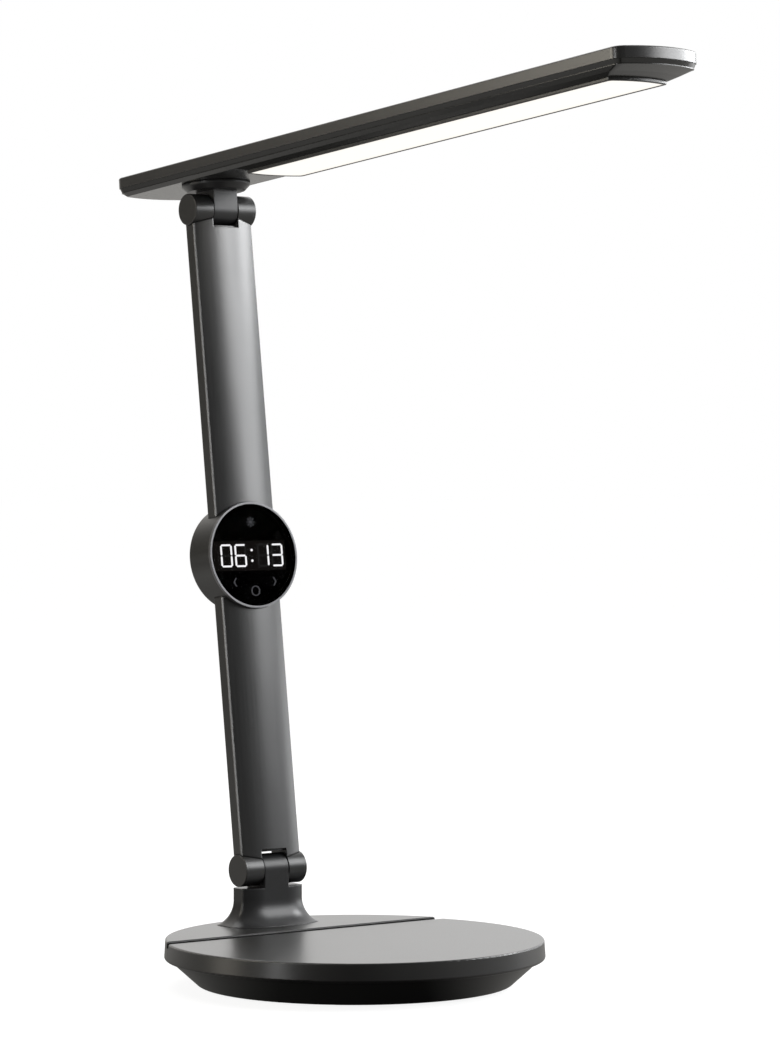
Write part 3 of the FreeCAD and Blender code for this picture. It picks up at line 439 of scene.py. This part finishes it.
# %% [markdown]
# ## Metal of the arm and the hinges
# The arm's tubes are drawn aluminium, anodised black. Drawing leaves streaks along the
# tube, so the grain is stretched that way. The neck and the head's knuckle are cast
# and painted, with the slightly uneven skin of a paint that shines less than plastic.
# The ring round the clock is turned aluminium, a little paler.

# %% Metals
PAINT_SHINE = 0.36
grained("arm_black", (0.07, 0.07, 0.07), paler=1.2, metallic=0.92,
        rough=(0.285, 0.34), scale=1100, dents=0.02, stretch=ALONG_THE_ARM, edge=SOFT)
shader = grained("hinge_black", (0.0115, 0.0115, 0.012), paler=1.8, metallic=0.0,
                 rough=(0.3, 0.36), scale=1200, dents=0.03, edge=SOFT)
shader.inputs["Specular IOR Level"].default_value = PAINT_SHINE
grained("bezel_grey", (0.1, 0.1, 0.105), paler=1.4, metallic=0.6,
        rough=(0.3, 0.4), scale=1500, dents=0.01)
print("finishes so far:", len(looks))

# %% [markdown]
# ## What is inside
# Screws, washers, boards and leads are hidden, but they show when the lamp is taken
# apart, so they get real finishes too: zinc-plated steel, mill-finished aluminium,
# green solder mask, milky nylon and dull rubber.

# %% Inside finishes
grained("steel", (0.5, 0.5, 0.51), paler=1.2, metallic=1.0,
        rough=(0.28, 0.4), scale=700, dents=0.05)
grained("plate_metal", (0.7, 0.7, 0.71), paler=1.1, metallic=1.0,
        rough=(0.3, 0.45), scale=600, dents=0.05)
grained("board_green", (0.02, 0.13, 0.06), paler=1.4, metallic=0.0,
        rough=(0.35, 0.5), scale=500, dents=0.05)
grained("chip_yellow", (0.8, 0.68, 0.2), paler=1.1, metallic=0.0,
        rough=(0.4, 0.5), scale=900, dents=0.03)
grained("washer_nylon", (0.75, 0.75, 0.7), paler=1.1, metallic=0.0,
        rough=(0.4, 0.5), scale=900, dents=0.03)
grained("reflector_white", (0.88, 0.88, 0.88), paler=1.05, metallic=0.0,
        rough=(0.5, 0.6), scale=800, dents=0.03)
grained("guide_clear", (0.85, 0.87, 0.87), paler=1.05, metallic=0.0,
        rough=(0.1, 0.16), scale=400, dents=0.01)
grained("cable_black", (0.015, 0.015, 0.015), paler=1.5, metallic=0.0,
        rough=(0.5, 0.65), scale=900, dents=0.05)
grained("pad_rubber", (0.02, 0.02, 0.02), paler=1.4, metallic=0.0,
        rough=(0.6, 0.8), scale=900, dents=0.15)
print("finishes so far:", len(looks))

# %% [markdown]
# ## The light panel
# The opal panel is lit from its two long edges. It is nearly white in the middle and a
# touch warmer toward the edges, where the light has passed through more plastic. The
# panel's own half width, read from its box, sets where the warmth begins.

# %% Panel
PANEL_GLOW = 0.92
PANEL_MIDDLE = (1.0, 0.972, 0.93)
PANEL_EDGE = (1.0, 0.955, 0.89)
EDGE_SHARE = 0.55
panel_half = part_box("diffuser")[1][0]
shader = grained("panel_white", (0.1, 0.1, 0.09), paler=1.1, metallic=0.0,
                 rough=(0.35, 0.45), scale=600, dents=0.02)
shader.inputs["Emission Strength"].default_value = PANEL_GLOW
tree = looks["panel_white"].node_tree
where = tree.nodes.new("ShaderNodeTexCoord")
split = tree.nodes.new("ShaderNodeSeparateXYZ")
width_wise = tree.nodes.new("ShaderNodeMath")
width_wise.operation = "ABSOLUTE"
near_edge = tree.nodes.new("ShaderNodeMapRange")
near_edge.interpolation_type = "SMOOTHSTEP"
near_edge.inputs["From Min"].default_value = EDGE_SHARE * panel_half
near_edge.inputs["From Max"].default_value = panel_half
warmth = tree.nodes.new("ShaderNodeMix")
warmth.data_type = "RGBA"
warmth.inputs["A"].default_value = (*PANEL_MIDDLE, 1)
warmth.inputs["B"].default_value = (*PANEL_EDGE, 1)
tree.links.new(where.outputs["Object"], split.inputs["Vector"])
tree.links.new(split.outputs["X"], width_wise.inputs[0])
tree.links.new(width_wise.outputs["Value"], near_edge.inputs["Value"])
tree.links.new(near_edge.outputs["Result"], warmth.inputs["Factor"])
tree.links.new(warmth.outputs["Result"], shader.inputs["Emission Color"])
print("panel half width", round(panel_half, 4), "m")

# %% [markdown]
# ## The clock
# Behind the clock's cover lie lit bars, unlit bars, the touch marks and a display. The
# unlit bars and the display are no lamps: their faint glow is painted light, the
# display's standing for the light it catches from the bars. The cover itself is smoked
# and coated against reflections: it lets three parts in a hundred of the light through
# and mirrors almost nothing, so the face looks black and only what glows shows. The
# glows are strong because the cover takes most of each away.

# %% Clock glows
# The glow of the unlit bars and of the display is painted light, not a lamp.
CLOCK_GLOWS = (("digit_white", (0.5, 0.5, 0.5), (0.98, 0.98, 1.0), 32.0),
               ("digit_grey", (0.03, 0.03, 0.03), (1.0, 0.98, 0.96), 0.45),
               ("icon_grey", (0.1, 0.1, 0.1), (0.9, 0.92, 1.0), 2.5),
               ("display_painted_glow", (0.01, 0.01, 0.01), (1.0, 0.86, 0.78), 0.17))
for name, colour, light, strength in CLOCK_GLOWS:
    shader = grained(name, colour, paler=1.2, metallic=0.0,
                     rough=(0.35, 0.45), scale=600, dents=0.02)
    shader.inputs["Emission Color"].default_value = (*light, 1)
    shader.inputs["Emission Strength"].default_value = strength
print("glows:", len(CLOCK_GLOWS))

# %% Clock cover
COVER_TINT = (0.03, 0.03, 0.03)
COVER_REFRACTION = 1.02
shader = grained("clock_glass", COVER_TINT, paler=1.0, metallic=0.0,
                 rough=(0.02, 0.05), scale=300, dents=0.005)
shader.inputs["Transmission Weight"].default_value = FULLY
shader.inputs["IOR"].default_value = COVER_REFRACTION
print("finishes in all:", len(looks))

# %% [markdown]
# ## Handing the finishes out
# The record says which finish each piece takes, so a loop can do the rest. Two pieces
# differ: the display behind the lit bars, which gets a painted glow for the light it
# catches from them, and the lacquered top of the head.

# %% Assign
# The display's finish is a painted glow for light it catches from the bars.
SPECIAL = {"clock_display": "display_painted_glow", "head_top_shell": "lacquer_black"}
count = 0
for entry in frame["record"]["subparts"]:
    piece = nodes[entry["node"]]
    look = looks[SPECIAL.get(entry["node"], entry["material_slot"])]
    if not piece.data.materials:
        piece.data.materials.append(look)
    for slot in piece.material_slots:
        slot.material = look
    count += 1
print("dressed pieces:", count)
